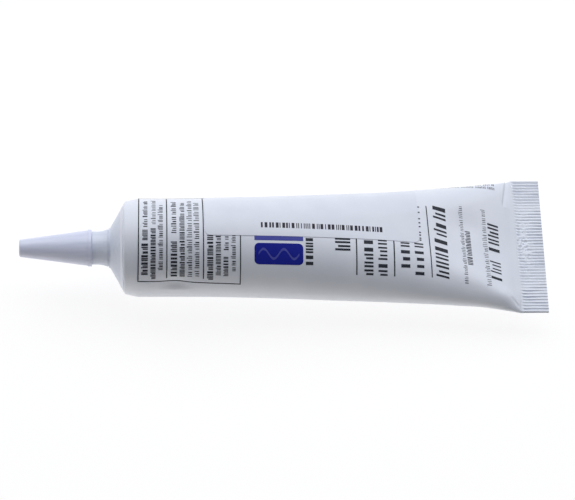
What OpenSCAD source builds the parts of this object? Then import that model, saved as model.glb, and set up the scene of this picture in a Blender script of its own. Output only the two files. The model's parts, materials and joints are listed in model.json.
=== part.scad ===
// Squeeze tube of caulk, lying on its side on the settled underside of its full sleeve.
// +X runs from the cap to the crimped tail, +Z is up, and +Y is the far side.
// The origin is the middle of the part's box, on the surface that it lies on.
// Each piece is drawn about the tube's own axis. Along it, s is 0 at the shoulder's corner.

/* [Sleeve] */
// Diameter of the round end of the sleeve
sleeve_dia = 35; // [32:0.5:40]
// Length from the shoulder's corner to the start of the flat tail
pillow_len = 140; // [117:1:167]
// Length of the round stretch that the head plugs
round_len = 5; // [4.5:0.1:8]
// Thickness of the extruded film
film = 0.5; // [0.4:0.05:0.7]
// Radius of the sleeve's rounded corner at the shoulder
corner_r = 2.5; // [1.5:0.1:3.5]
// Power of the pillow's fall towards the tail: a higher one stays round for longer
fall_power = 2.2; // [1.8:0.1:2.6]
// Power of its end: a higher one runs into the tail more gently
end_power = 0.7; // [0.5:0.05:0.9]
// How flat the pillow's top and bottom become at the tail, as a share of the flattest section
flat_share = 0.9; // [0:0.05:0.95]
// How late they become flat
flat_power = 1.5; // [1:0.1:3]
// How far the sleeve is formed inwards over the shoulder
lip_reach = 3; // [2.5:0.1:4.5]
// Thickness of that lip
lip_t = 0.35; // [0.2:0.05:0.5]

/* [Crimped tail] */
// Length of the flat tail
crimp_len = 10; // [8:0.5:16]
// Length of its smooth band, before the ribs
band_len = 1; // [0.5:0.5:4]
// Number of ribs pressed across the tail
rib_count = 45; // [25:1:60]
// Height of a rib from its root to its crest
rib_depth = 0.24; // [0.1:0.02:0.4]

/* [Shoulder and collar] */
// Angle of the shoulder's cone to a plane square across the axis
cone_angle = 26; // [20:1:32]
// Wall of the shoulder
shoulder_wall = 1.3; // [1:0.1:1.8]
// How far the shoulder's rim plugs into the sleeve
plug_len = 3; // [2.8:0.1:4]
// Radius of the low ledge round the collar's foot
ledge_r = 7.1; // [6.9:0.1:7.4]
// Length of that ledge
ledge_len = 1.2; // [0.6:0.1:2]
// Step from the ledge down to the flare
ledge_step = 0.25; // [0.1:0.05:0.4]
// Radius of the hollow flare at the collar's foot
flare_r = 3; // [2:0.1:4]
// Radius of the collar
collar_r = 5.8; // [5.6:0.1:6.2]
// Length of the collar with its flare
collar_len = 5.8; // [5:0.1:8]

/* [Neck and nozzle] */
// Radius of the neck at the root of its thread
neck_r = 4.35; // [4.25:0.05:4.6]
// Length of the neck
neck_len = 5.3; // [4.5:0.1:8]
// Wall of the neck
neck_wall = 1.15; // [0.9:0.05:1.4]
// Radius of the nozzle where it leaves the neck
nozzle_base_r = 4.1; // [3.6:0.05:4.2]
// Radius of the nozzle's closed tip
nozzle_tip_r = 1.9; // [1.7:0.05:2.4]
// Length of the nozzle
nozzle_len = 18.8; // [12:0.1:28]
// Wall of the nozzle
nozzle_wall = 1.1; // [0.8:0.05:1.2]
// Thickness of the nozzle's uncut end
nozzle_end = 1.1; // [0.8:0.1:2]

/* [Cap] */
// Room between the neck and the cap's bore, for the thread
thread_room = 0.6; // [0.5:0.05:0.8]
// Gap between the nozzle and the cap's taper
cap_gap = 0.35; // [0.25:0.05:0.5]
// Gap between the cap's mouth and the collar
seat_gap = 0.1; // [0.05:0.05:0.3]
// Wall of the cap at its mouth
mouth_wall = 1.55; // [1.3:0.05:1.8]
// Wall of the cap at its tip
tip_wall = 0.8; // [0.7:0.05:1.2]
// Thickness of the cap's flat end
end_wall = 1.3; // [0.8:0.1:2]
// Height of the thin rim round the cap's mouth
rim_step = 0.1; // [0.05:0.05:0.3]
// Length of that rim
rim_len = 1.35; // [0.8:0.05:2.5]
// Radius on the edge of the cap's flat end
tip_round = 0.4; // [0.2:0.1:0.8]

/* [Label] */
// Length of the paper label along the tube
label_len = 76.2; // [50:0.1:78]
// Height of the label round the tube
label_height = 25.4; // [18:0.1:36]
// Distance from the shoulder's corner to the label
label_start = 28; // [12:0.1:32]
// How far the label comes over the top, towards the near side
label_over = 5; // [2:0.1:9]
// Radius of the label's corners
label_corner = 2; // [1:0.1:4]
// Thickness of the label
label_t = 0.12; // [0.1:0.01:0.2]
// Thickness of the adhesive under the label
label_glue = 0.05; // [0.04:0.01:0.1]

/* [How it lies] */
// Slope of the tube, with its tail lower than its cap
tilt = 2.8; // [2.2:0.1:3.4]
// How deep the underside is pressed flat by the weight of the filling
settle = 0.8; // [0.4:0.05:1.2]

/* [Hidden] */
$fn = 96;
// Facets round the sleeve, along it, and on an arc of a profile
around = 72;
along = 36;
arc_steps = 8;
// Grid of the label along the tube, round it, and in its corners
label_columns = 28;
label_rows = 12;
corner_rows = 4;
// Clearance where the head is welded in and the filling meets it
weld_gap = 0.05;
// How far one shape of a piece reaches into the next
bite = 1;
// How far inside its neighbour a shape's outline starts, so that no two outlines coincide
seam_inset = 0.03;
// Half height of the film's middle line where it is pressed flat
flat_core = 0.02;
// Turn each side of the top line that the flat part of a section takes up
flat_turn = 5;
// Steps in the search for the place where the tube rests
rest_steps = 2000;
// Share of a rib's pitch that is crest, and the same for its root
rib_flat = 0.35;
// Halvings in the search for a section's half width, and the search's upper limit over a flat film
halvings = 24;
search_over = 1.02;
// Step and end of the angles at which a section's girth is summed
girth_step = 5;
girth_end = 170;

sleeve_r = sleeve_dia / 2;
core_r = sleeve_r - film;
core_girth = 2 * PI * core_r;
pillow_run = pillow_len - round_len;
tail_s = pillow_len + crimp_len;

// Shoulder: s of the lip's outer face and of the head's own face at radius r
function lip_s(r) = -(sleeve_r - r) * tan(cone_angle);
function cone_s(r) = lip_s(r) + lip_t / cos(cone_angle);
// Length of the straight run that a rounded corner takes off each side
function corner_run(r) = r * tan((90 - cone_angle) / 2);
plug_r = sleeve_r - film - weld_gap;
plug_corner_r = corner_r - film;
lip_r = sleeve_r - lip_reach;

// Collar, neck and nozzle, from the ledge to the tip
flare_top_r = ledge_r - ledge_step;
flare_s = cone_s(ledge_r) - ledge_len;
flare_run = sqrt(pow(flare_r, 2) - pow(flare_r - (flare_top_r - collar_r), 2));
collar_s = flare_s - collar_len;
neck_s = collar_s - neck_len;
nozzle_s = neck_s - nozzle_len;
neck_bore_r = neck_r - neck_wall;
filling_r = neck_bore_r - weld_gap;

// Cap, from its mouth against the collar to its flat end
mouth_s = collar_s - seat_gap;
cap_bore_r = neck_r + thread_room;
cap_mouth_r = cap_bore_r + mouth_wall;
cap_bore_s = neck_s - cap_gap;
cap_taper_s = nozzle_s - cap_gap;
cap_end_s = cap_taper_s - end_wall;
cap_tip_r = nozzle_tip_r + cap_gap + tip_wall;
rim_s = mouth_s - rim_len;
cap_slope = (cap_mouth_r - cap_tip_r) / (mouth_s - cap_end_s);

// Half height of the film's middle line at s: round, then a pillow that ends flat
function along_pillow(s) = min(1, max(0, (s - round_len) / pillow_run));
function half_height(s) =
    max(flat_core, core_r * pow(1 - pow(along_pillow(s), fall_power), end_power));

// Height of the tube's axis: the tilted sleeve's lowest place, less what is pressed flat there
drops = [for (i = [0 : rest_steps])
    let (s = round_len + pillow_run * i / rest_steps)
    (film + half_height(s) + s * tan(tilt)) * cos(tilt)];
axis_height = max(drops) - settle;
cap_x = cap_end_s * cos(tilt) - (cap_tip_r - tip_round) * sin(tilt);
tail_x = tail_s * cos(tilt) + (film + rib_depth / 2) * sin(tilt);
middle_x = (cap_x + tail_x) / 2;

// Points of an arc about a centre, from one angle to another
function arc(centre, r, from, to) =
    [for (i = [0 : arc_steps])
        let (turn = from + (to - from) * i / arc_steps)
        centre + r * [cos(turn), sin(turn)]];

// Rounded corner between the side at radius r and the shoulder's cone, which meets the side at s
function cone_corner(r, s, round_r, grow) =
    arc([r - round_r, s + corner_run(round_r)], round_r + grow, 0, cone_angle - 90);

// Girth of an ellipse, and the half width that gives it at half height b
function girth(a, b) = PI * (3 * (a + b) - sqrt((3 * a + b) * (a + 3 * b)));
function half_width(b, wanted, low, high, n) =
    let (mid = (low + high) / 2)
    n == 0 ? mid
    : girth(mid, b) > wanted ? half_width(b, wanted, low, mid, n - 1)
    : half_width(b, wanted, mid, high, n - 1);

// Section of the film's middle line at s, with the film's girth kept: an ellipse parted in the middle.
// Its values are the ellipse's half width and half height, and the half length of the flat part.
function core(s) =
    let (b = half_height(s),
         flat = flat_share * pow(along_pillow(s), flat_power) * (core_girth - 2 * PI * b) / 4)
    [half_width(b, core_girth - 4 * flat, 0, core_girth / 4 * search_over, halvings), b, flat];

// Point on a section at an angle from the far side over the top, lifted off the middle line
function on_section(ab, angle, lift) =
    let (out = [ab[1] * cos(angle), ab[0] * sin(angle)],
         side = min(1, max(-1, cos(angle) / sin(flat_turn))))
    [ab[0] * cos(angle) + ab[2] * side, ab[1] * sin(angle)] + lift * out / norm(out);

// Pairs of the distance round the sleeve from its top line and the angle that it reaches
function girth_table(ab) =
    [for (k = 0, run = 0;
          k * girth_step <= girth_end;
          run = run + norm(on_section(ab, 90 - girth_step * (k + 1), film)
                           - on_section(ab, 90 - girth_step * k, film)),
          k = k + 1)
        [run, girth_step * k]];

// Point on the sleeve at s and at a distance round it from the top line, lifted off its skin
function on_sleeve(s, round, lift) =
    let (ab = core(s),
         turn = sign(round) * lookup(abs(round), girth_table(ab)),
         p = on_section(ab, 90 - turn, film + lift))
    [s, p[0], p[1]];

// Turns a profile of radius and s about the tube's axis
module turned() {
    rotate([0, 90, 0]) rotate_extrude() children();
}

// Lays the tube down on its settled underside
module at_rest() {
    translate([-middle_x, 0, axis_height]) rotate([0, tilt, 0]) children();
}

// Half section of the shoulder with its plug, grown all round by a gap
module shoulder_profile(grow) {
    skin = -grow / cos(cone_angle);
    back = (shoulder_wall + grow) / cos(cone_angle);
    foot_r = neck_bore_r - grow;
    inner_r = plug_r - shoulder_wall - grow;
    polygon(concat(
        [[plug_r + grow, plug_len + grow]],
        cone_corner(plug_r, cone_s(plug_r), plug_corner_r, grow),
        [[foot_r, cone_s(foot_r) + skin],
         [foot_r, cone_s(foot_r) + back],
         [inner_r, cone_s(inner_r) + back],
         [inner_r, plug_len + grow]]));
}

// Half section of the ledge, the flared collar, the neck and the nozzle
module collar_profile() {
    inside = shoulder_wall / 2;
    polygon(concat(
        [[0, cone_s(0) + inside],
         [ledge_r, cone_s(ledge_r) + inside],
         [ledge_r, flare_s]],
        arc([collar_r + flare_r, flare_s - flare_run], flare_r,
            180 - asin(flare_run / flare_r), 180),
        [[collar_r, collar_s],
         [neck_r, collar_s],
         [neck_r, neck_s],
         [nozzle_base_r, neck_s],
         [nozzle_tip_r, nozzle_s],
         [0, nozzle_s]]));
}

// Half section of the passage through the head, blind at the uncut tip
module bore_profile() {
    polygon([[0, 0],
             [neck_bore_r, 0],
             [neck_bore_r, neck_s],
             [nozzle_base_r - nozzle_wall, neck_s],
             [nozzle_tip_r - nozzle_wall, nozzle_s + nozzle_end],
             [0, nozzle_s + nozzle_end]]);
}

// Half section of the sleeve's round end: lip, corner, side, and the filling up into the neck
module round_end_profile() {
    inside = shoulder_wall / 2;
    difference() {
        polygon(concat(
            [[0, round_len], [sleeve_r, round_len]],
            cone_corner(sleeve_r, 0, corner_r, 0),
            [[lip_r, lip_s(lip_r)],
             [lip_r, cone_s(lip_r) + inside],
             [filling_r, cone_s(filling_r) + inside],
             [filling_r, neck_s],
             [0, neck_s]]));
        shoulder_profile(weld_gap);
    }
}

// The full sleeve, lofted from a circle to a flat line with the film's girth kept the same
module pillow() {
    rings = [for (i = [0 : along])
        let (s = round_len + pillow_run * sin(90 * i / along),
             ab = core(s),
             lift = film - (i == 0 ? seam_inset : 0))
        [for (j = [0 : around - 1])
            let (p = on_section(ab, 360 * j / around, lift))
            [s, p[0], p[1]]]];
    sides = [for (i = [0 : along - 1], j = [0 : around - 1])
        let (next = (j + 1) % around,
             a = i * around + j,
             b = i * around + next,
             c = a + around,
             d = b + around)
        each [[a, d, b], [a, c, d]]];
    first = [for (j = [0 : around - 1]) j];
    last = [for (j = [around - 1 : -1 : 0]) along * around + j];
    polyhedron(points = [for (r = rings) each r], faces = concat(sides, [first, last]));
}

// Outline of the ribbed tail across the tube: crests and roots on both faces
module rib_profile(half) {
    pitch = 2 * half / rib_count;
    root = film - rib_depth / 2;
    crest = film + rib_depth / 2;
    flank = (1 - 2 * rib_flat) / 2;
    top = [for (i = [0 : rib_count - 1])
        let (y = -half + pitch * i)
        each [[y + pitch * flank / 2, root],
              [y + pitch * (flank / 2 + flank), crest],
              [y + pitch * (flank / 2 + flank + rib_flat), crest],
              [y + pitch * (1 - rib_flat + flank / 2), root]]];
    bottom = [for (i = [len(top) - 1 : -1 : 0]) [top[i][0], -top[i][1]]];
    polygon(concat([[-half, 0]], top, [[half, 0]], bottom));
}

// The flat tail: a smooth welded band with folded edges, then the ribs
module tail() {
    half = core(pillow_len)[0] + core(pillow_len)[2] + film - seam_inset;
    translate([pillow_len - bite, 0, 0]) rotate([90, 0, 90])
        linear_extrude(height = band_len + bite)
            polygon([[-half, 0], [film - half, film], [half - film, film],
                     [half, 0], [half - film, -film], [film - half, -film]]);
    translate([pillow_len + band_len, 0, 0]) rotate([90, 0, 90])
        linear_extrude(height = crimp_len - band_len) rib_profile(half);
}

module filled_sleeve() {
    color("#e6e9f0")
    difference() {
        at_rest() {
            turned() round_end_profile();
            pillow();
            tail();
        }
        translate([-tail_s, -sleeve_dia, -sleeve_dia]) cube([2 * tail_s, 2 * sleeve_dia, sleeve_dia]);
    }
}

module tube_head() {
    color("#dfe3ec")
    at_rest() turned() difference() {
        union() {
            shoulder_profile(0);
            collar_profile();
        }
        bore_profile();
    }
}

module cap() {
    cone_r = cap_mouth_r - cap_slope * rim_len;
    rim_r = cap_mouth_r + rim_step;
    color("#d9dee9")
    at_rest() turned() difference() {
        polygon(concat(
            [[0, mouth_s], [rim_r, mouth_s], [rim_r, rim_s], [cone_r, rim_s]],
            arc([cap_tip_r - tip_round, cap_end_s + tip_round], tip_round, 0, -90),
            [[0, cap_end_s]]));
        polygon([[0, mouth_s + bite],
                 [cap_bore_r, mouth_s + bite],
                 [cap_bore_r, cap_bore_s],
                 [nozzle_base_r + cap_gap, cap_bore_s],
                 [nozzle_tip_r + cap_gap, cap_taper_s],
                 [0, cap_taper_s]]);
    }
}

// A thin sheet that follows the sleeve's skin, with rounded corners
module label() {
    corner = [for (k = [0 : corner_rows]) label_corner * (1 - cos(90 * k / corner_rows))];
    straight = label_height - 2 * label_corner;
    rows = concat(
        corner,
        [for (k = [1 : label_rows - 1]) label_corner + straight * k / label_rows],
        [for (k = [corner_rows : -1 : 0]) label_height - corner[k]]);
    wide = label_columns + 1;
    sheet = len(rows) * wide;
    points = [for (lift = [label_glue, label_glue + label_t], d = rows)
        let (short = max(0, label_corner - min(d, label_height - d)),
             inset = label_corner - sqrt(pow(label_corner, 2) - pow(short, 2)),
             step = (label_len - 2 * inset) / label_columns)
        each [for (j = [0 : label_columns])
            on_sleeve(label_start + inset + step * j, d - label_over, lift)]];
    cells = [for (i = [0 : len(rows) - 2], j = [0 : label_columns - 1])
        let (a = i * wide + j, b = a + 1, c = a + wide, d = c + 1)
        each [[a, b, d], [a, d, c], [sheet + a, sheet + d, sheet + b], [sheet + a, sheet + c, sheet + d]]];
    edge = concat(
        [for (j = [0 : label_columns]) j],
        [for (i = [1 : len(rows) - 1]) i * wide + label_columns],
        [for (j = [label_columns - 1 : -1 : 0]) (len(rows) - 1) * wide + j],
        [for (i = [len(rows) - 2 : -1 : 1]) i * wide]);
    border = [for (k = [0 : len(edge) - 1])
        let (a = edge[k], b = edge[(k + 1) % len(edge)])
        each [[a, sheet + a, sheet + b], [a, sheet + b, b]]];
    color("#f2f2f8")
    at_rest() polyhedron(points = points, faces = concat(cells, border));
}

filled_sleeve();
tube_head();
cap();
label();
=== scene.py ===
# %% [markdown]
# # A squeeze tube of caulk
#
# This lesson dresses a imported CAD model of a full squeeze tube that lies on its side. The object has four
# pieces: a film sleeve full of caulk and crimped flat at its tail, a moulded head with a neck and nozzle,
# a long screw cap, and a paper label stuck over part of the print. The CAD model fixes every size and
# place. Blender adds what a solid has no use for: film that creases, ribs of uneven depth, a screw thread,
# ink that stands on the film, and plastics and paper that catch the light as the real ones do.

import bisect
import functools
import json
import math
import random

import bmesh
import bpy
from mathutils import Matrix, Vector, noise


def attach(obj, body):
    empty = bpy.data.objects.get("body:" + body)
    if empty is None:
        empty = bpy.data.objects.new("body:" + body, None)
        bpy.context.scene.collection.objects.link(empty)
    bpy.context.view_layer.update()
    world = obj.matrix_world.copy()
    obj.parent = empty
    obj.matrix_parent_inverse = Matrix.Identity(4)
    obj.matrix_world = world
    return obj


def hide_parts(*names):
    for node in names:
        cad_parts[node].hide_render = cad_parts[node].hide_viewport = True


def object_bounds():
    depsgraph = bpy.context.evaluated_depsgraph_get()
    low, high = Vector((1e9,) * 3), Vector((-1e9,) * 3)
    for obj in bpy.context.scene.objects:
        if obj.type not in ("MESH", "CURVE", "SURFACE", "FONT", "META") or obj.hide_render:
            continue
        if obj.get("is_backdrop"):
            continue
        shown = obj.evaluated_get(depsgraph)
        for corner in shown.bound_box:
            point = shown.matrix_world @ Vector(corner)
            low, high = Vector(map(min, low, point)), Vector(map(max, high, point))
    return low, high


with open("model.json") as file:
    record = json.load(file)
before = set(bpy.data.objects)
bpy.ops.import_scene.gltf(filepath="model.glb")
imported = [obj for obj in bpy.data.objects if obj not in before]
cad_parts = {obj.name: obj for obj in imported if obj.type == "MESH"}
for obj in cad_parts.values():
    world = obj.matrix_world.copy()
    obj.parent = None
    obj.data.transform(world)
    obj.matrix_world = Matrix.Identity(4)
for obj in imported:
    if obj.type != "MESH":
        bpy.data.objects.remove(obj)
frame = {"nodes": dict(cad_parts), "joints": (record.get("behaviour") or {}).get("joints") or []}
cad_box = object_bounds()
print("CAD nodes:", sorted(frame["nodes"]))

# %% [markdown]
# ## Camera
# A long lens about a metre away keeps the tube's sides nearly parallel, as in the photo. The camera looks
# down at 59 degrees and stands 2 degrees to the left of square. Its three directions are worked out first,
# because the aim is then easy to move along the picture's own right and up.

# %% Photo camera
view_azimuth = math.radians(-1.99)
view_elevation = math.radians(58.62)
view_distance = 1.075
view_back = Vector((
    math.sin(view_azimuth) * math.cos(view_elevation),
    -math.cos(view_azimuth) * math.cos(view_elevation),
    math.sin(view_elevation),
))
view_right = Vector((math.cos(view_azimuth), math.sin(view_azimuth), 0))
view_up = view_back.cross(view_right)
# Near the tube's middle, and 2 mm aside, so that the tube lies in the frame where it does in the photo
aim = Vector((0, 0, 0.015)) + 0.0018 * view_right - 0.00082 * view_up

photo_lens = bpy.data.cameras.new("photo_lens")
photo_lens.lens = 188.4
photo_camera = bpy.data.objects.new("photo_camera", photo_lens)
facing = Matrix((view_right, view_up, view_back)).transposed().to_4x4()
photo_camera.matrix_world = Matrix.Translation(aim + view_distance * view_back) @ facing
bpy.context.collection.objects.link(photo_camera)
bpy.context.scene.camera = photo_camera
print("camera at", [round(value, 3) for value in photo_camera.matrix_world.translation])

# %% [markdown]
# ## Nodes and colours
# Every material below is built from nodes. One small function adds a node, sets its properties, and fills
# or links its inputs. Colours are written as the sRGB hex values that a colour picker shows, and one
# function turns them into the linear values that the shader works in.

# %% Node and colour helpers
def from_hex(code):
    """Turns an sRGB hex colour into linear red, green, blue and alpha."""
    parts = [int(code[k:k + 2], 16) / 255 for k in (1, 3, 5)]
    linear = [c / 12.92 if c <= 0.04045 else ((c + 0.055) / 1.055) ** 2.4 for c in parts]
    return (*linear, 1)


def add_node(tree, kind, inputs=None, **settings):
    """Adds a node, sets its properties, and sets or links the inputs that are given by name or number."""
    node = tree.nodes.new(kind)
    for name, value in settings.items():
        setattr(node, name, value)
    for name, value in (inputs or {}).items():
        if isinstance(value, bpy.types.NodeSocket):
            tree.links.new(value, node.inputs[name])
        else:
            node.inputs[name].default_value = value
    return node


def new_tree(name):
    """Makes an empty material and returns it with its node tree and output."""
    material = bpy.data.materials.new(name)
    material.use_nodes = True
    material.node_tree.nodes.clear()
    return material, material.node_tree, add_node(material.node_tree, "ShaderNodeOutputMaterial")


def colour_ramp(tree, factor, low, high):
    """Runs a noise's factor, which seldom leaves 0.3 to 0.7, through a ramp between two hex colours."""
    ramp = add_node(tree, "ShaderNodeValToRGB", {"Fac": factor})
    ramp.color_ramp.elements[0].position = 0.3
    ramp.color_ramp.elements[0].color = from_hex(low)
    ramp.color_ramp.elements[1].position = 0.7
    ramp.color_ramp.elements[1].color = from_hex(high)
    return ramp.outputs["Color"]

# %% [markdown]
# ## Light and floor
# The photo's light comes from a broad source over and behind the tube, in a room that is dark in front of
# it. The top is bright, the near side falls to grey, and below that the white table lights it again. So one
# large soft lamp hangs over the far side, a weak small one on the left lifts the shoulder's cone, and the
# world is dim. The floor is a warm white board with a soft glow of its own that lights the tube's near side
# from below. The glow grows from the front towards the tube, and once more by the cap.
#
# By Light Path the camera and the reflections see world and board as white. To them most of the board's
# white is glow and only a little comes from the lamps, so the tube's shadow on it stays light. A glow that
# only some rays see mustn't be sampled as a lamp, so that is off for both.

# %% Lamps and world
def add_lamp(name, place, size, power, colour):
    """Adds a rectangular soft lamp that faces the tube."""
    lamp = bpy.data.lights.new(name, "AREA")
    lamp.color = colour
    lamp.shape = "RECTANGLE"
    lamp.size = size[0]
    lamp.size_y = size[1]
    lamp.energy = power
    holder = bpy.data.objects.new(name, lamp)
    holder.location = place
    holder.rotation_euler = (Vector(place) - aim).to_track_quat("Z", "Y").to_euler()
    bpy.context.collection.objects.link(holder)


def seen_white(tree):
    """Gives 1 to rays from the camera, in a reflection or through a clear piece, and 0 to the rest."""
    path = add_node(tree, "ShaderNodeLightPath")
    either = add_node(tree, "ShaderNodeMath", {
        0: path.outputs["Is Camera Ray"],
        1: path.outputs["Is Glossy Ray"],
    }, operation="MAXIMUM")
    return add_node(tree, "ShaderNodeMath", {
        0: either.outputs["Value"],
        1: path.outputs["Is Transmission Ray"],
    }, operation="MAXIMUM").outputs["Value"]


# Place and size in metres, power in watts, and a white that is a trace short of red
add_lamp("soft_panel", (0.1, 0.62, 0.98), (2.8, 0.95), 22.0, (0.965, 0.985, 1.0))
add_lamp("left_panel", (-0.75, -0.1, 0.34), (0.5, 0.4), 0.4, (0.98, 0.985, 1.0))

world = bpy.data.worlds.new("white_room")
world.use_nodes = True
world.node_tree.nodes.clear()
fill = add_node(world.node_tree, "ShaderNodeBackground", {"Color": from_hex("#eceef2"), "Strength": 0.06})
white = add_node(world.node_tree, "ShaderNodeBackground", {"Color": (1, 1, 1, 1), "Strength": 1.0})
sky = add_node(world.node_tree, "ShaderNodeMixShader", {
    0: seen_white(world.node_tree),
    1: fill.outputs["Background"],
    2: white.outputs["Background"],
})
add_node(world.node_tree, "ShaderNodeOutputWorld", {"Surface": sky.outputs["Shader"]})
world.cycles.sampling_method = "NONE"
bpy.context.scene.world = world
bpy.context.scene.view_settings.view_transform = "Standard"
print("lamps:", [lamp.name for lamp in bpy.data.lights])

# %% White board
floor_mesh = bmesh.new()
just_under = Matrix.Translation((0, 0, -0.0001))
bmesh.ops.create_grid(floor_mesh, x_segments=1, y_segments=1, size=3, matrix=just_under)
floor_data = bpy.data.meshes.new("floor")
floor_mesh.to_mesh(floor_data)
floor_mesh.free()
# Painted board has no gloss: the eye gets an even white that fades softly into the tube's shadow
floor_finish, tree, output = new_tree("matt_white_board")
board = add_node(tree, "ShaderNodeBsdfDiffuse", {"Color": from_hex("#ebe8e3")})
board_place = add_node(tree, "ShaderNodeTexCoord")
board_axes = add_node(tree, "ShaderNodeSeparateXYZ", {"Vector": board_place.outputs["Object"]})
# Places on the board are in metres: the tube's near edge lies at y -0.027 and the cap's end at x -0.094
glow_by_tube = add_node(tree, "ShaderNodeMapRange", {
    "Value": board_axes.outputs["Y"],
    "From Min": -0.16,
    "From Max": -0.04,
    "To Min": 0.15,
    "To Max": 0.66,
})
glow_by_cap = add_node(tree, "ShaderNodeMapRange", {
    "Value": board_axes.outputs["X"],
    "From Min": -0.13,
    "From Max": -0.07,
    "To Min": 1.5,
    "To Max": 1.0,
})
glow_strength = add_node(tree, "ShaderNodeMath", {
    0: glow_by_tube.outputs["Result"],
    1: glow_by_cap.outputs["Result"],
}, operation="MULTIPLY")
under_glow = add_node(tree, "ShaderNodeEmission", {
    "Color": from_hex("#fffbf3"),
    "Strength": glow_strength.outputs["Value"],
})
lighting_board = add_node(tree, "ShaderNodeAddShader", {
    0: board.outputs["BSDF"],
    1: under_glow.outputs["Emission"],
})
shadow_catcher = add_node(tree, "ShaderNodeBsdfDiffuse", {"Color": from_hex("#6e6e70")})
white_glow = add_node(tree, "ShaderNodeEmission", {"Color": (1, 1, 1, 1), "Strength": 0.88})
seen_board = add_node(tree, "ShaderNodeAddShader", {
    0: shadow_catcher.outputs["BSDF"],
    1: white_glow.outputs["Emission"],
})
either_board = add_node(tree, "ShaderNodeMixShader", {
    0: seen_white(tree),
    1: lighting_board.outputs["Shader"],
    2: seen_board.outputs["Shader"],
})
tree.links.new(either_board.outputs["Shader"], output.inputs["Surface"])
floor_finish.cycles.emission_sampling = "NONE"
floor_data.materials.append(floor_finish)
floor = bpy.data.objects.new("floor", floor_data)
bpy.context.collection.objects.link(floor)
floor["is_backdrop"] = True
print("the board is", [round(side, 2) for side in floor.dimensions], "m")

# %% [markdown]
# ## The sleeve's sections
# A tube is drawn about its own axis. Here s runs along it from 0 at the shoulder's corner to 150 at the
# tail, y points to the far side and z up, all in millimetres. The sleeve is extruded film. Film bends but
# hardly stretches, so every section keeps the same girth while it goes from a circle at the head to a flat
# line at the tail. As in the CAD model, a section is an ellipse that is parted in the middle by a flat
# stretch, which grows towards the tail. Its half height follows the pillow's fall, and its half width is
# found by halving until the girth fits. The print and the label use the same rule, so they land on the film.

# %% Sleeve sections
sleeve_r = 17.5
film = 0.5
core_r = sleeve_r - film
core_girth = 2 * math.pi * core_r
half_girth = math.pi * sleeve_r
round_end = 5.0
pillow_end = 140.0
# Two powers give the pillow's fall: it stays high at first and drops steeply before the tail
fall_powers = (2.2, 0.7)
# The flat stretch takes up to 0.9 of the girth that the ellipse gives up, and opens within 5 degrees of the
# top and the bottom
flat_share = 0.9
flat_turn = math.sin(math.radians(5))


def along_pillow(s):
    """0 at the end of the round stretch and 1 where the pillow ends."""
    return min(1, max(0, (s - round_end) / (pillow_end - round_end)))


def half_height(s):
    """Half height of the film's middle line at s."""
    return max(0.02, core_r * (1 - along_pillow(s) ** fall_powers[0]) ** fall_powers[1])


def girth(a, b):
    """Girth of an ellipse with half axes a and b."""
    return math.pi * (3 * (a + b) - math.sqrt((3 * a + b) * (a + 3 * b)))


@functools.lru_cache(maxsize=None)
def film_section(s):
    """Half width and half height of the ellipse at s, and the half length of the flat part."""
    height = half_height(s)
    flat = flat_share * along_pillow(s) ** 1.5 * (core_girth - 2 * math.pi * height) / 4
    low, high = 0.0, core_girth / 4 * 1.02
    for _ in range(24):
        middle = (low + high) / 2
        if girth(middle, height) > core_girth - 4 * flat:
            high = middle
        else:
            low = middle
    return middle, height, flat


def section_point(section, turn, lift):
    """Point of a section at a turn from the top, lifted off the middle line along its normal."""
    across, up = math.sin(turn), math.cos(turn)
    side = min(1, max(-1, across / flat_turn))
    normal = Vector((section[1] * across, section[0] * up)).normalized()
    return Vector((section[0] * across + section[2] * side, section[1] * up)) + lift * normal


@functools.lru_cache(maxsize=None)
def skin_table(s):
    """Distances round the skin from its top line, and the turns that they reach, every 2.5 degrees."""
    turns = [math.radians(2.5 * k) for k in range(73)]
    points = [section_point(film_section(s), turn, film) for turn in turns]
    runs = [0.0]
    for near, far in zip(points, points[1:]):
        runs.append(runs[-1] + (far - near).length)
    return runs, turns


tail_half = film_section(pillow_end)[0] + film_section(pillow_end)[2] + film
print("half width at the tail:", round(tail_half, 2), "mm")

# %% [markdown]
# ## From the tube to the frame
# The full tube lies with its axis sloping down towards the tail. The slope is read from the CAD joint,
# whose axis is the line that the cap pulls off along. The axis is as high as the sleeve's lowest place
# needs, less the 0.8 mm by which the filling's weight presses the underside flat. One matrix then takes a
# point from the tube's millimetres to the frame's metres. Every piece is finished by one function, which
# gives it its material and its body, and hides the CAD node that it stands for.

# %% Matrix from the tube to the frame
pull = Vector(frame["joints"][0]["axis"])
slope = math.atan2(pull.z, -pull.x)
# The frame's origin lies under this place along the axis, and the weight presses this much of the film flat
tube_middle = 56.167
pressed = 0.8
places = [round_end + (pillow_end - round_end) * k / 2000 for k in range(2001)]
lowest_place = max((film + half_height(s) + s * math.tan(slope)) * math.cos(slope) for s in places)
axis_height = lowest_place - pressed
to_frame = (
    Matrix.Scale(0.001, 4)
    @ Matrix.Translation((-tube_middle, 0, axis_height))
    @ Matrix.Rotation(slope, 4, "Y")
)
print("the axis slopes", round(math.degrees(slope), 2), "degrees, from", round(axis_height, 3), "mm")

# %% Finish a piece
# Edges that turn by more degrees than this stay crisp in the shading: bent sheets, and mouldings
sheet_crisp = 50
moulded_crisp = 32


def make_piece(name, mesh, finish, body, stands_for, crisp):
    """Turns a finished bmesh into an object that rides on a body and may stand for a CAD node."""
    data = bpy.data.meshes.new(name)
    mesh.to_mesh(data)
    mesh.free()
    data.shade_smooth()
    data.set_sharp_from_angle(angle=math.radians(crisp))
    data.materials.append(finish)
    piece = bpy.data.objects.new(name, data)
    bpy.context.collection.objects.link(piece)
    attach(piece, body)
    if stands_for:
        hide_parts(stands_for)
    triangles = sum(len(face.vertices) - 2 for face in data.polygons)
    print(name, "has", triangles, "triangles")

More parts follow.
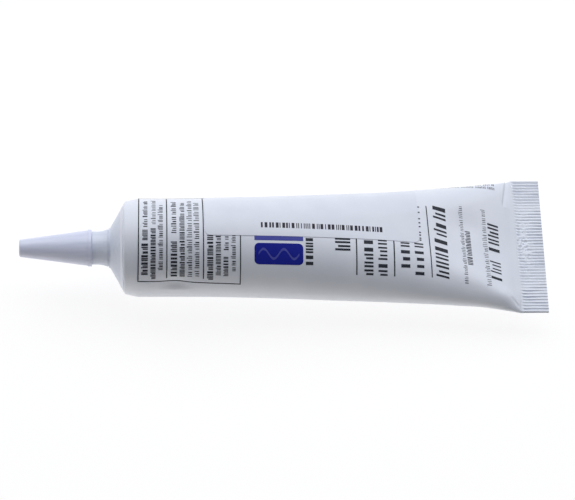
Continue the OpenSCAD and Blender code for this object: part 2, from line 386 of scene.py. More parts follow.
# %% [markdown]
# ## Dents, creases and ribs
# A filled tube is never quite smooth. The photo shows a shallow dent low on the near side by the head, a top
# that is dished before the tail with one round dent in it, a place at the far corner where the film laps
# over itself in a sharp step, a small pinch at the near corner, and faint waves. The tail is twisted by
# about 2 degrees against the head. Sculpting could draw all this by hand. Here it is one function of the
# place on the film, in millimetres outwards, because the print and the label then follow the same surface.

# %% Shapes of dents and creases
def bell(s, g, middle, reach):
    """1 at a place on the film, falling smoothly to 0 over its reach."""
    return math.exp(-((s - middle[0]) / reach[0]) ** 2 - ((g - middle[1]) / reach[1]) ** 2)


def fold(s, g, start, end, width):
    """1 along a line between two places on the film, falling to 0 beside it and fading at its ends."""
    line = Vector(end) - Vector(start)
    along = (Vector((s, g)) - Vector(start)).dot(line) / line.length_squared
    if along <= 0 or along >= 1:
        return 0.0
    beside = (Vector((s, g)) - Vector(start) - along * line).length
    return math.exp(-(beside / width) ** 2) * math.sin(math.pi * along) ** 0.5


def overlap(s, g, start, end, step, run):
    """A step down across a line between two places, sharp before it and recovering over a run behind it."""
    line = Vector(end) - Vector(start)
    away = Vector((s, g)) - Vector(start)
    along = away.dot(line) / line.length_squared
    if along <= 0 or along >= 1:
        return 0.0
    beside = abs(away.cross(line)) / line.length
    if s < start[0] + along * line.x:
        return max(0, 1 - beside / step) * math.sin(math.pi * along) ** 0.5
    return math.exp(-beside / run) * math.sin(math.pi * along) ** 0.5


# Each dent (below 0) or swelling: its height, its middle as (s, g), and its reach along and round the tube
swellings = (
    (-0.80, (17.8, -23.4), (4.6, 2.7)),
    (0.22, (17.8, -26.9), (4.6, 1.1)),
    (0.45, (81, -37), (30, 12)),
    (0.30, (112, 21), (14, 9)),
    (-0.85, (121.3, 5.0), (6.5, 5.5)),
    (-0.20, (126.5, -31), (5, 6)),
    (0.50, (133.5, -22.5), (4.5, 3.2)),
    (-0.45, (135.6, 22.5), (2.6, 4.0)),
)
# The lap of film at the far corner and the pinch at the near one, each from one place to another
lap_ends = ((138.4, 28.5), (136.0, 15.0))
pinch_ends = ((136.8, -22.4), (139.4, -25.6))
print(len(swellings), "dents and swellings")

# %% [markdown]
# ## Ribs of the tail
# A heated jaw welds the tail shut and presses 45 ribs across it. Their crests are broad and their grooves
# narrow, and the grooves' depth is uneven, because the jaw never closes quite true. In the middle of the
# upper side the press has roughened a small patch. The ribs are real geometry, with four columns of points
# to a rib, because with bump alone the tail's end would stay a straight line.

# %% Ribs and the run of the film on to them
rib_count = 45
rib_pitch = 2 * tail_half / rib_count
rib_start = 140.5
rib_rise = 0.6
rib_crest = 0.10
rib_groove = 0.41
run_on = 137.0
run_on_end = 142.2
# The roughened patch: its middle as (s, g) and its reach along and round the tube
patch_middle = (143.2, 1.0)
patch_reach = (2.1, 8.6)


def rib_relief(s, g):
    """Height of the ribs' crests and grooves, which run along the tube."""
    upper = abs(g) < half_girth / 2
    across = g if upper else math.copysign(half_girth - abs(g), g)
    place = (across + tail_half) / rib_pitch
    groove = 0.5 + 0.5 * math.cos(2 * math.pi * place)
    # Each side of the tail has its own unevenness, which changes from rib to rib and along a rib over 7 mm
    side = math.copysign(3, half_girth / 2 - abs(g))
    uneven = 1 + 0.7 * noise.noise(Vector((s / 7, round(place) * 1.7, side)))
    rise = min(1, max(0, (s - rib_start + 0.01 * across + 0.2) / rib_rise))
    crest = rib_crest * min(1, abs(abs(g) - half_girth / 2))
    height = rise * (crest - rib_groove * uneven * groove ** 3.4)
    if upper:
        # Inside the patch the ribs keep 0.4 of their height under marks of 0.7 to 0.9 mm
        pressed_flat = bell(s, across, patch_middle, patch_reach) ** 0.6
        mark = noise.noise(Vector((s / 0.7, across / 0.9, 11)))
        height += pressed_flat * (0.56 * mark - 0.24 - 0.6 * height)
    return height


def smooth_height(s):
    """Half height of the film's middle line where it runs smoothly on to the ribs."""
    if s <= run_on:
        return half_height(s)
    return half_height(run_on) * max(0, (run_on_end - s) / (run_on_end - run_on)) ** 1.5


print("a rib is", round(rib_pitch, 2), "mm wide")

# %% Relief of the film
relief_end = rib_start - 0.3
# The dished top: how much of the film's height it takes, its middle line round the tube and its reach
dish_depth = 0.36
dish_middle = -3.0
dish_reach = 11.5


def relief(s, g):
    """Height of the real film over the plain section, in millimetres."""
    if s <= round_end:
        return 0.0
    fade = min(1, (s - round_end) / 6)
    inside = min(1, abs(abs(g) - half_girth / 2) / 5)
    # The dish deepens from s 100 to 132
    hollow = min(1, max(0, (s - 100) / 32)) ** 1.5
    dish = 1 - dish_depth * hollow * math.exp(-((g - dish_middle) / dish_reach) ** 2)
    height = (dish - 1) * half_height(s) + inside * dish * (smooth_height(s) - half_height(s))
    if s >= relief_end:
        return height + rib_relief(s, g)
    # Faint waves about 24 mm long and 0.12 mm high, and ripples of 9 mm and 0.03 mm
    ends = fade * min(1, (relief_end - s) / 8)
    turn = g / sleeve_r
    wave = noise.noise(Vector((s / 24, 1.1 * math.sin(turn), 1.1 * math.cos(turn) + 7)))
    ripple = noise.noise(Vector((s / 9, 3 * math.sin(turn), 3 * math.cos(turn) + 31)))
    height += ends * (0.12 * wave + 0.03 * ripple)
    # The soft ridge that bounds the dish on the near side and runs out to the near corner
    ridge = (g + 15.5 + 0.37 * (s - 117)) / 3.2
    height += 0.4 * hollow * min(1, (140.7 - s) / 5) * math.exp(-ridge ** 2)
    height += fade * sum(rise * bell(s, g, middle, reach) for rise, middle, reach in swellings)
    height -= 0.75 * overlap(s, g, *lap_ends, 0.35, 1.6)
    height -= 0.30 * fold(s, g, *pinch_ends, 0.4)
    return height


print("deepest point of the dent by the head:", round(relief(17.8, -23.4), 2), "mm")

# %% Places on the film
tail_twist = math.radians(1.8)
twist_start = 112
twist_run = 28


def twisted(s, y, z):
    """Turns a point of a section about the axis by the tail's slight twist."""
    part = min(1, max(0, (s - twist_start) / twist_run))
    turn = tail_twist * part * part * (3 - 2 * part)
    return Vector((s, y * math.cos(turn) - z * math.sin(turn), z * math.cos(turn) + y * math.sin(turn)))


def on_film(s, g, lift):
    """Point of the tube at s and at g round the film from its top line, lifted off the film."""
    lift += relief(s, g)
    side = math.copysign(1, g)
    run = abs(g)
    if s < pillow_end:
        runs, turns = skin_table(round(s, 3))
        k = min(len(runs) - 1, max(1, bisect.bisect_left(runs, run)))
        part = min(1, (run - runs[k - 1]) / (runs[k] - runs[k - 1]))
        turn = turns[k - 1] + part * (turns[k] - turns[k - 1])
        y, z = section_point(film_section(round(s, 3)), turn, film + lift)
        return twisted(s, side * y, z)
    flat = tail_half - film
    if run <= flat:
        return twisted(s, side * run, film + lift)
    turn = min(math.pi, (run - flat) / film)
    rest = max(0, run - flat - math.pi * film)
    return twisted(s, side * (flat - rest + (film + lift) * math.sin(turn)), (film + lift) * math.cos(turn))


print("top of the film halfway along:", [round(value, 1) for value in on_film(75.0, 0.0, 0.0)])

# %% [markdown]
# ## Wrapping the film
# The sleeve starts as a flat grid, one column for each quarter of a rib, and is wrapped by moving its
# points. Its first rows are turned about the axis: they run from the filling in the neck, behind the
# shoulder, round the lip that is formed over it, a fine groove and the rolled edge of the film. That edge
# isn't quite square to the axis: it wanders by up to half a millimetre towards the head on the near upper
# side. The other rows follow the sections. The flat sheet is kept as a UV map, in metres of film, so that
# extrusion lines can follow the surface. Where the tube would sink into the surface that it lies on, the
# film is pressed flat.

# %% Rows of the turned end
cone = math.atan(0.565)
lip_r = 13.4
lip_t = 0.2
shoulder_wall = 1.3
weld_gap = 0.05
plug_r = 16.0
plug_in_r = plug_r - shoulder_wall
plug_end_s = 3.0
neck_bore_r = 3.2
# Places along the tube of the neck's front end, and of the point where the shoulder's cone would end
neck_s = -16.983
cone_point_s = -9.2


def face_s(r):
    """Place along the tube of the shoulder's outer face."""
    return r * math.tan(cone) + cone_point_s


def under_lip_s(r):
    """Place along the tube of the head's face where the film's lip covers it."""
    return face_s(r) + lip_t / math.cos(cone)


def corner(r, s, radius, grown):
    """Points of the rounded corner between the shoulder and the side, from the shoulder outwards."""
    middle = s + radius * math.tan((math.pi / 2 - cone) / 2)
    turns = [(cone - math.pi / 2) * (8 - k) / 8 for k in range(9)]
    reach = radius + grown
    return [(middle + reach * math.sin(turn), r - radius + reach * math.cos(turn)) for turn in turns]


def edge_wander(s, g):
    """How far the formed edge of the film wanders towards the head on the near upper side."""
    nearness = max(0, min(1, (s + 1.0) / 0.6, 1 - s / 5))
    return -0.55 * nearness * max(0, math.cos(g / sleeve_r + 0.6))


behind = (shoulder_wall + weld_gap) / math.cos(cone)
stem_r = neck_bore_r - weld_gap
filling_r = plug_in_r - weld_gap
under_rows = [
    (neck_s, 0.0),
    (neck_s, stem_r),
    (under_lip_s(stem_r) + behind, stem_r),
    (under_lip_s(filling_r) + behind, filling_r),
    (plug_end_s + weld_gap, filling_r),
    (plug_end_s + weld_gap, plug_r + weld_gap),
    *reversed(corner(plug_r, under_lip_s(plug_r), 1.0, weld_gap)),
    (under_lip_s(lip_r) - weld_gap / math.cos(cone), lip_r),
]
outer_rows = [
    (face_s(lip_r) - 0.05, lip_r),
    (face_s(14.7) - 0.05, 14.7),
    (face_s(15.2) - 0.05, 15.2),
    (face_s(15.6) - 0.05, 15.6),
    # A fine groove, the rolled edge of the film, and its run out to the full girth
    (-0.37, 15.72),
    (-0.30, 15.62),
    (-0.16, 15.64),
    (-0.12, 16.05),
    (-0.04, 16.25),
    (0.13, 16.44),
    (0.38, 16.57),
    (0.75, 16.63),
    (1.3, 16.73),
    (2.0, 16.88),
    (2.7, 17.07),
    (3.4, 17.25),
    (4.1, 17.39),
    (4.6, 17.46),
    (round_end, sleeve_r),
]
turned_rows = under_rows + outer_rows
print(len(turned_rows), "turned rows")

# %% Rows of the pillow and the ribs
# They lie closer where the film's shape changes fast: by the head, and from the last slope on to the ribs
pillow_rows = [round_end + k for k in range(1, 21)]
pillow_rows += [27 + 2 * k for k in range(49)]
pillow_rows += [124.5, 126, 127.5, 129, 130.4, 131.7, 132.8, 133.6, 134.2]
pillow_rows += [134.5 + 0.3 * k for k in range(16)]
pillow_rows += [139.2, 139.4, 139.55, 139.7, 139.82, 139.92, 140.0, 140.3, 140.6, 140.9]
pillow_rows += [141.2 + 0.4 * k for k in range(23)]
film_rows = turned_rows + [(s, None) for s in pillow_rows]
print(len(film_rows), "rows of film, the last at", film_rows[-1][0])

# %% Wrap the sheet
columns = 8 * rib_count
sleeve = bmesh.new()
bmesh.ops.create_grid(sleeve, x_segments=len(film_rows) - 1, y_segments=columns, size=0.5)
sheet = {}
for vert in sleeve.verts:
    number = round((vert.co.x + 0.5) * (len(film_rows) - 1))
    s, r = film_rows[number]
    g = half_girth * 2 * vert.co.y
    if len(under_rows) <= number < len(turned_rows):
        s += edge_wander(s, g)
    if r is None:
        place = on_film(s, g, 0)
    else:
        place = Vector((s, r * math.sin(g / sleeve_r), r * math.cos(g / sleeve_r)))
    sheet[vert] = (s, g)
    vert.co = to_frame @ place
    vert.co.z = max(0, vert.co.z)

film_map = sleeve.loops.layers.uv.new("film_sheet")
for face in sleeve.faces:
    for loop in face.loops:
        loop[film_map].uv = (sheet[loop.vert][0] / 1000, sheet[loop.vert][1] / 1000)

bmesh.ops.remove_doubles(sleeve, verts=sleeve.verts, dist=2e-6)
cut_end = [edge for edge in sleeve.edges if edge.is_boundary]
bmesh.ops.contextual_create(sleeve, geom=cut_end)
bmesh.ops.recalc_face_normals(sleeve, faces=sleeve.faces)
open_edges = sum(edge.is_boundary for edge in sleeve.edges)
print(len(cut_end), "edges closed at the tail, open edges left:", open_edges)

# %% [markdown]
# ## Film of polyethylene
# The sleeve is white low-density polyethylene, extruded as an endless tube through a round die. Titanium
# white and a trace of blue make it opaque and cool. The die leaves faint straight lines along it, and the
# cooled skin has a slight orange peel. Real die lines are about 0.05 mm apart, which is too fine to show,
# so they are drawn 0.5 mm apart. Handling leaves patches that are a little more or less glossy.

# %% Film material
# What the eye gets: a cool, slightly waxy white with a broad soft gloss that breaks up into faint streaks
film_finish, tree, output = new_tree("extruded_white_polyethylene")
sheet_place = add_node(tree, "ShaderNodeUVMap", uv_map="film_sheet")
# One unit of the map is a metre of film: lines 0.5 mm apart that run 60 mm along the tube
line_place = add_node(tree, "ShaderNodeMapping", {
    "Vector": sheet_place.outputs["UV"],
    "Scale": (1000 / 60, 1000 / 0.5, 1),
})
die_lines = add_node(tree, "ShaderNodeTexNoise", {
    "Vector": line_place.outputs["Vector"],
    "Scale": 1.0,
    "Detail": 2.0,
})
# Bump distances are in metres too: no finish on the tube is deeper than 0.02 mm
skin_depth = 0.00002
solid_place = add_node(tree, "ShaderNodeTexCoord")
# Object coordinates are metres: orange peel of 0.8 mm, and patches of 14 mm from handling
peel = add_node(tree, "ShaderNodeTexNoise", {
    "Vector": solid_place.outputs["Object"],
    "Scale": 1000 / 0.8,
    "Detail": 1.0,
})
patches = add_node(tree, "ShaderNodeTexNoise", {
    "Vector": solid_place.outputs["Object"],
    "Scale": 1000 / 14,
    "Detail": 3.0,
})
shine = add_node(tree, "ShaderNodeMapRange", {
    "Value": patches.outputs["Fac"],
    "To Min": 0.40,
    "To Max": 0.52,
})
line_bump = add_node(tree, "ShaderNodeBump", {
    "Height": die_lines.outputs["Fac"],
    "Strength": 0.25,
    "Distance": skin_depth,
})
peel_bump = add_node(tree, "ShaderNodeBump", {
    "Height": peel.outputs["Fac"],
    "Strength": 0.2,
    "Distance": skin_depth,
    "Normal": line_bump.outputs["Normal"],
})
plastic = add_node(tree, "ShaderNodeBsdfPrincipled", {
    "Base Color": colour_ramp(tree, patches.outputs["Fac"], "#dce1ee", "#e2e6f2"),
    "Roughness": shine.outputs["Result"],
    "IOR": 1.51,
    "Specular IOR Level": 0.35,
    "Normal": peel_bump.outputs["Normal"],
})
tree.links.new(plastic.outputs["BSDF"], output.inputs["Surface"])

make_piece("film_sleeve", sleeve, film_finish, "tube", "filled_sleeve", sheet_crisp)

# %% [markdown]
# ## Turned mouldings
# The head and the cap are injection moulded and round about the tube's axis, so each starts as half of its
# section, drawn flat as one face. Bevelling single corners of that face gives the small radii that a mould
# needs, and spinning its outline once round makes the whole piece, with its inside.

# %% Spin a half section
spin_steps = 160


def half_section(points, rounded):
    """Draws a half section as a face of (s, r) points and rounds the corners that have a radius."""
    mesh = bmesh.new()
    verts = [mesh.verts.new((s, r, 0)) for s, r in points]
    mesh.faces.new(verts)
    for number, radius in rounded.items():
        bmesh.ops.bevel(
            mesh, geom=[verts[number]], affect="VERTICES", offset=radius, offset_type="OFFSET",
            segments=4, profile=0.5, material=-1,
        )
    return mesh


def spin_section(mesh):
    """Spins the outline of a half section once round the tube's axis and lays the piece in the frame."""
    on_axis = [edge for edge in mesh.edges if all(abs(vert.co.y) < 1e-6 for vert in edge.verts)]
    bmesh.ops.delete(mesh, geom=mesh.faces[:], context="FACES_ONLY")
    bmesh.ops.delete(mesh, geom=on_axis, context="EDGES")
    bmesh.ops.spin(
        mesh, geom=mesh.verts[:] + mesh.edges[:], cent=(0, 0, 0), axis=(1, 0, 0), dvec=(0, 0, 0),
        angle=2 * math.pi, steps=spin_steps, use_merge=True,
    )
    bmesh.ops.remove_doubles(mesh, verts=mesh.verts, dist=1e-4)
    bmesh.ops.recalc_face_normals(mesh, faces=mesh.faces)
    bmesh.ops.transform(mesh, matrix=to_frame, verts=mesh.verts)
    print("spun", len(mesh.faces), "faces, open edges:", sum(edge.is_boundary for edge in mesh.edges))
    return mesh

# %% [markdown]
# ## Screw thread
# The neck has a right-handed thread of about two turns, which the CAD solid leaves out. A thread is a small
# ridge wound round a cylinder. It is made like the film: a flat grid, long and four faces wide, whose
# points are wound up the neck. Its height fades to nothing at both ends, where a mould ends a thread.
# The cap's own thread is drawn shallower than a real one, so that the cap also slides straight off.

# %% Wind a thread
thread_pitch = 1.7
steps_a_turn = 64


def wind_thread(mesh, start, turns, root, crest, base):
    """Adds a ridge from a root radius to a crest radius, wound along the tube's axis."""
    rounds = round(turns * steps_a_turn)
    strip = bmesh.ops.create_grid(mesh, x_segments=rounds, y_segments=4, size=0.5)["verts"]
    # Places across the ridge and how high each is: up one flank, over the crest, down, and back underneath
    foot = 0.5 * base
    top = 0.18 * base
    across = [(-foot, 0.0), (-top, 1.0), (top, 1.0), (foot, 0.0), (-foot, 0.0)]
    for vert in strip:
        part = vert.co.x + 0.5
        turn = 2 * math.pi * turns * part
        fade = min(1, min(part, 1 - part) * turns / 0.16)
        offset, rise = across[round((vert.co.y + 0.5) * 4)]
        r = root + (crest - root) * rise * fade
        s = start + thread_pitch * turns * part + offset * (0.35 + 0.65 * fade)
        vert.co = to_frame @ Vector((s, r * math.cos(turn), r * math.sin(turn)))
    bmesh.ops.remove_doubles(mesh, verts=mesh.verts, dist=1e-7)
    bmesh.ops.recalc_face_normals(mesh, faces=mesh.faces)
    print("wound", turns, "turns of thread")

# %% [markdown]
# ## The head
# One moulding of white polyethylene: a rim that plugs the sleeve, a shoulder cone, a low ledge with a fine
# groove before it, a hollow flare up to the collar, the neck, and a nozzle whose tip is still closed. Only
# cone, ledge, flare and collar show while the cap is on. The rest comes into view when the cap is off.

# %% Half section of the head
ledge_r = 7.15
flare_top_r = 6.9
flare_r = 9.4
collar_r = 5.92
neck_r = 4.35
nozzle_r = 4.1
nozzle_bore_r = 3.0
tip_r = 1.9
tip_bore_r = 0.8
tip_wall = 1.1
neck_len = 5.3
nozzle_len = 18.8
ledge_s = face_s(ledge_r)
flare_s = ledge_s - 0.5
collar_s = neck_s + neck_len
tip_s = neck_s - nozzle_len
flare_run = math.sqrt(flare_r ** 2 - (flare_r - flare_top_r + collar_r) ** 2)
flare_turn = math.asin(flare_run / flare_r)
flare = []
for k in range(9):
    turn = flare_turn * (1 - k / 8)
    s = flare_s - flare_run + flare_r * math.sin(turn)
    flare.append((s, collar_r + flare_r - flare_r * math.cos(turn)))
# The fine groove, 0.4 mm deep and 0.3 mm wide
ledge_groove = [
    (flare_s - 0.42, flare_top_r - 0.19),
    (flare_s - 0.39, flare_top_r - 0.42),
    (flare_s - 0.13, flare_top_r - 0.42),
    (flare_s - 0.10, flare_top_r - 0.05),
]
wall = shoulder_wall / math.cos(cone)
head_points = [
    (tip_s, 0.0),
    (tip_s, tip_r),
    (neck_s, nozzle_r),
    (neck_s, neck_r),
    (collar_s, neck_r),
    (collar_s, collar_r),
    *reversed(flare[1:]),
    *ledge_groove,
    flare[0],
    (flare_s, ledge_r),
    (ledge_s, ledge_r),
    (face_s(lip_r), lip_r - weld_gap),
    (under_lip_s(lip_r), lip_r - weld_gap),
    *corner(plug_r, under_lip_s(plug_r), 1.0, 0.0),
    (plug_end_s, plug_r),
    (plug_end_s, plug_in_r),
    (under_lip_s(plug_in_r) + wall, plug_in_r),
    (under_lip_s(neck_bore_r) + wall, neck_bore_r),
    (neck_s, neck_bore_r),
    (neck_s, nozzle_bore_r),
    (tip_s + tip_wall, tip_bore_r),
    (tip_s + tip_wall, 0.0),
]
ledge_corner = 6 + len(flare) + len(ledge_groove)
# The radii of the nozzle's tip, the collar's inner and outer corner and the ledge's two edges
head_section = half_section(head_points, {
    1: 0.45,
    4: 0.2,
    5: 0.1,
    ledge_corner: 0.18,
    ledge_corner + 1: 0.2,
})
head = spin_section(head_section)
wind_thread(head, start=collar_s - 3.95, turns=1.95, root=neck_r - 0.1, crest=neck_r + 0.4, base=1.0)

# %% [markdown]
# ## Moulded polyethylene
# Injection-moulded polyethylene is duller than film, because the mould's fine spark-eroded skin prints on
# it. That skin is about 0.02 mm across, and is drawn at 0.25 mm so that it shows. Plastic that flows along
# the mould leaves faint streaks. One function makes the finish, because head and cap come from the same
# process and differ in colour and streaks. The streaks run along the tube's axis, so the pattern is turned
# by the tube's slope.

# %% Moulded plastic materials
def moulded_plastic(name, low, high, gloss):
    """Makes moulded polyethylene, a satin with faint streaks, between two colours and two roughnesses."""
    finish, tree, output = new_tree(name)
    place = add_node(tree, "ShaderNodeTexCoord")
    # Streaks about 25 mm long and 1.2 mm wide
    turned_place = add_node(tree, "ShaderNodeMapping", {
        "Vector": place.outputs["Object"],
        "Rotation": (0, -slope, 0),
        "Scale": (1000 / 25, 1000 / 1.2, 1000 / 1.2),
    })
    streaks = add_node(tree, "ShaderNodeTexNoise", {
        "Vector": turned_place.outputs["Vector"],
        "Scale": 1.0,
        "Detail": 2.0,
    })
    skin = add_node(tree, "ShaderNodeTexNoise", {
        "Vector": place.outputs["Object"],
        "Scale": 1000 / 0.25,
        "Detail": 1.0,
    })
    shine = add_node(tree, "ShaderNodeMapRange", {
        "Value": streaks.outputs["Fac"],
        "To Min": gloss[0],
        "To Max": gloss[1],
    })
    bump = add_node(tree, "ShaderNodeBump", {
        "Height": skin.outputs["Fac"],
        "Strength": 0.25,
        "Distance": skin_depth,
    })
    plastic = add_node(tree, "ShaderNodeBsdfPrincipled", {
        "Base Color": colour_ramp(tree, streaks.outputs["Fac"], low, high),
        "Roughness": shine.outputs["Result"],
        "IOR": 1.53,
        "Normal": bump.outputs["Normal"],
    })
    tree.links.new(plastic.outputs["BSDF"], output.inputs["Surface"])
    return finish


head_finish = moulded_plastic("moulded_white_polyethylene", "#ced5e6", "#d6dcec", (0.34, 0.46))
make_piece("moulded_head", head, head_finish, "tube", "tube_head", moulded_crisp)

# %% [markdown]
# ## The cap
# A long hollow cone that screws down over the nozzle and keeps its tip from drying. It has a thin rim at
# its mouth, a softly rounded end, and a shallow dimple where the plastic entered the mould. Its wall
# follows the neck and the nozzle inside, as in the CAD solid.

# %% Half section of the cap
mouth_s = collar_s - 0.05
bore_r = 4.95
mouth_r = 6.5
nozzle_gap = 0.35
bore_s = neck_s - nozzle_gap
taper_s = tip_s - nozzle_gap
end_wall = 1.3
end_s = taper_s - end_wall
end_r = 3.05
dimple_r = 1.5
dimple_depth = 0.2
rim_width = 1.35
rim_step = 0.1
rim_s = mouth_s - rim_width
cap_slope = (mouth_r - end_r) / (mouth_s - end_s)
cap_points = [
    (taper_s, 0.0),
    (taper_s, tip_r + nozzle_gap),
    (bore_s, nozzle_r + nozzle_gap),
    (bore_s, bore_r),
    (mouth_s, bore_r),
    (mouth_s, mouth_r + rim_step),
    (rim_s, mouth_r + rim_step),
    (rim_s, mouth_r - cap_slope * rim_width),
    (end_s, end_r),
    (end_s, dimple_r),
    (end_s + dimple_depth, dimple_r - 0.3),
    (end_s + dimple_depth, 0.0),
]
# The radii of the mouth's inner lip, the rim's two edges, the rounded end and the dimple's edge and floor
cap_section = half_section(cap_points, {4: 0.2, 5: 0.08, 6: 0.06, 8: 0.4, 9: 0.1, 10: 0.08})
cap = spin_section(cap_section)
wind_thread(cap, start=mouth_s - 4.2, turns=1.6, root=bore_r + 0.1, crest=bore_r - 0.12, base=0.8)
cap_finish = moulded_plastic("moulded_cap_polyethylene", "#cdd2ea", "#d7dbf0", (0.36, 0.48))
make_piece("screw_cap", cap, cap_finish, "cap", "cap", moulded_crisp)

# %% [markdown]
# ## Flat shapes that follow the film
# A label and print are flat before they are on the tube, so they are drawn flat too, with s along and g
# round the tube. Each drawing is cut along a grid of lines, so that its faces are small enough to bend,
# given a thickness, and then wrapped on the film by the same function as the sleeve. Ink is 0.005 mm
# thick in reality. It is drawn 0.07 mm thick, from just under the film, so that no facet of it sinks.

# %% Cut, thicken and wrap a drawing
def lay_on_film(drawing, thickness, base, step_s, step_g):
    """Cuts a flat drawing into small faces, thickens it and wraps it on the film at a base height."""
    for axis, step in ((0, step_s), (1, step_g)):
        values = [vert.co[axis] for vert in drawing.verts]
        normal = (1, 0, 0) if axis == 0 else (0, 1, 0)
        for k in range(math.ceil(min(values) / step), math.floor(max(values) / step) + 1):
            place = [0.0, 0.0, 0.0]
            place[axis] = k * step
            bmesh.ops.bisect_plane(
                drawing, geom=drawing.verts[:] + drawing.edges[:] + drawing.faces[:],
                dist=1e-4, plane_co=place, plane_no=normal,
            )
    bmesh.ops.solidify(drawing, geom=drawing.faces[:], thickness=thickness)
    lowest = min(vert.co.z for vert in drawing.verts)
    sheet_layer = drawing.loops.layers.uv.new("film_sheet")
    for face in drawing.faces:
        for loop in face.loops:
            loop[sheet_layer].uv = (loop.vert.co.x / 1000, loop.vert.co.y / 1000)
    for vert in drawing.verts:
        vert.co = to_frame @ on_film(vert.co.x, vert.co.y, base + vert.co.z - lowest)
    bmesh.ops.recalc_face_normals(drawing, faces=drawing.faces)
    print("laid a drawing on the film with", len(drawing.faces), "faces")


def add_bar(drawing, s_range, g_range, lean=0.0, slant=0.0):
    """Adds a flat bar between two places along and two round the tube, which may lean and slant."""
    for vert in bmesh.ops.create_grid(drawing, x_segments=1, y_segments=1, size=0.5)["verts"]:
        g = g_range[0] if vert.co.y < 0 else g_range[1]
        s = s_range[0] if vert.co.x < 0 else s_range[1]
        vert.co = (s + lean * g, g + slant * (s_range[1] - s), 0)


def round_corners(drawing, radius, segments):
    """Rounds the four corners of a flat drawing."""
    bmesh.ops.bevel(
        drawing, geom=drawing.verts[:], affect="VERTICES", offset=radius, offset_type="OFFSET",
        segments=segments, profile=0.5, material=-1,
    )

# %% [markdown]
# ## The paper label
# A smooth coated paper label, 76.2 by 25.4 mm with small round corners, put on by hand over the print. Its
# outline is one face with four bevelled corners.

# %% Draw the label
label_t = 0.12
glue_t = 0.05
label = bmesh.new()
add_bar(label, (28.0, 104.2), (-5.0, 20.4))
round_corners(label, 2.0, 6)
lay_on_film(label, label_t, glue_t, 2.0, 1.0)

# %% [markdown]
# ## Coated label paper
# Coated paper is whiter and duller than the film round it. Under the coat, fibres of 0.02 mm lie about at
# random and dimple the face. They are drawn 0.3 mm wide, because finer ones would not show.

# %% Paper material
# What the eye gets: a flat, even white without the film's streaks, so the label stands off the film
paper_finish, tree, output = new_tree("coated_label_paper")
place = add_node(tree, "ShaderNodeTexCoord")
fibres = add_node(tree, "ShaderNodeTexNoise", {
    "Vector": place.outputs["Object"],
    "Scale": 1000 / 0.3,
    "Detail": 3.0,
    "Distortion": 1.2,
})
cloud = add_node(tree, "ShaderNodeTexNoise", {
    "Vector": place.outputs["Object"],
    "Scale": 1000 / 9,
    "Detail": 3.0,
})
fibre_bump = add_node(tree, "ShaderNodeBump", {
    "Height": fibres.outputs["Fac"],
    "Strength": 0.3,
    "Distance": skin_depth,
})
paper_shine = add_node(tree, "ShaderNodeMapRange", {
    "Value": cloud.outputs["Fac"],
    "To Min": 0.46,
    "To Max": 0.58,
})
paper = add_node(tree, "ShaderNodeBsdfPrincipled", {
    "Base Color": colour_ramp(tree, cloud.outputs["Fac"], "#d8dcea", "#dde1ee"),
    "Roughness": paper_shine.outputs["Result"],
    "IOR": 1.5,
    "Normal": fibre_bump.outputs["Normal"],
})
tree.links.new(paper.outputs["BSDF"], output.inputs["Surface"])
make_piece("paper_label", label, paper_finish, "tube", "label", sheet_crisp)

# %% [markdown]
# ## Print of bars and blocks
# The sleeve carries a ruled box and many rows of print, most of them across the tube. All of it is plain
# shapes: a fine row is a row of upright bars of uneven width and height in short groups, and a heavy row is
# a row of solid blocks and pairs of strokes. They could be an image, but an image blurs close up, and ink
# has an edge. So each row is given its place, height, reach and weight, and seeded dice roll its bars, so
# that every run gives the same rows. The print isn't quite true to the tube: the first rows lean by a
# hundredth of their length, the last ones the other way, and the box's near side slants.

# %% Rows of bars and rows of blocks
dice = random.Random(17)


def grouped_bars(low, high, height, weight, gap=1.5):
    """Rolls upright bars in short groups: the start, end and height of each."""
    bars = []
    place = low
    while place < high:
        for _ in range(dice.randint(3, 8)):
            width = weight * dice.choice((1.0, 1.0, 1.0, 1.6))
            rise = height * dice.choice((1.0, 0.85, 0.7, 0.7))
            if place + width > high:
                break
            bars.append((place, place + width, rise))
            place += width + weight * dice.uniform(gap - 0.4, gap + 0.4)
        place += 2.2 * weight
    return bars


def fine_row(drawing, top, height, low, high, weight, lean=0.0, gap=1.5):
    """Adds a row of fine bars round the tube from low to high."""
    for start, end, rise in grouped_bars(low, high, height, weight, gap):
        add_bar(drawing, (top + height - rise, top + height), (start, end), lean)


def lengthwise_row(drawing, base, height, low, high, weight, lean=0.0):
    """Adds a row of fine bars along the tube from low to high, on a base line that may lean."""
    for start, end, rise in grouped_bars(low, high, height, weight):
        foot = base + lean * (start - high)
        add_bar(drawing, (start, end), (foot, foot + rise))


def heavy_row(drawing, top, height, low, high, width, lean=0.0, slant=0.0, share=0.6):
    """Adds a row of blocks and pairs of strokes round the tube, which ink a share of each width."""
    g = low
    while g + 0.5 * width < high:
        strokes = ((0.0, share),) if dice.random() < 0.35 else ((0.0, share / 2), (0.52, share / 2))
        for start, wide in strokes:
            edges = (g + start * width, g + (start + wide * dice.uniform(0.95, 1.15)) * width)
            rise = height * dice.choice((1.0, 1.0, 1.0, 0.8))
            add_bar(drawing, (top + height - rise, top + height), edges, lean, slant)
        g += 1.12 * width

# %% The ruled box and its three columns of rows
black = bmesh.new()
line = 0.38
# Its ends, its two long sides and the two lines that divide it
add_bar(black, (4.6, 4.6 + line), (-22.8, 17.0 + line), 0.014)
add_bar(black, (40.3, 40.3 + line), (-23.6, 17.0 + line))
add_bar(black, (4.3, 40.3 + line), (-23.4 - line / 2, -23.4 + line / 2), slant=0.022)
add_bar(black, (4.8, 40.3 + line), (17.0, 17.0 + line))
add_bar(black, (14.5, 14.5 + line), (-21.3, 15.4), 0.006)
add_bar(black, (27.3, 27.3 + line), (-21.3, 15.4))
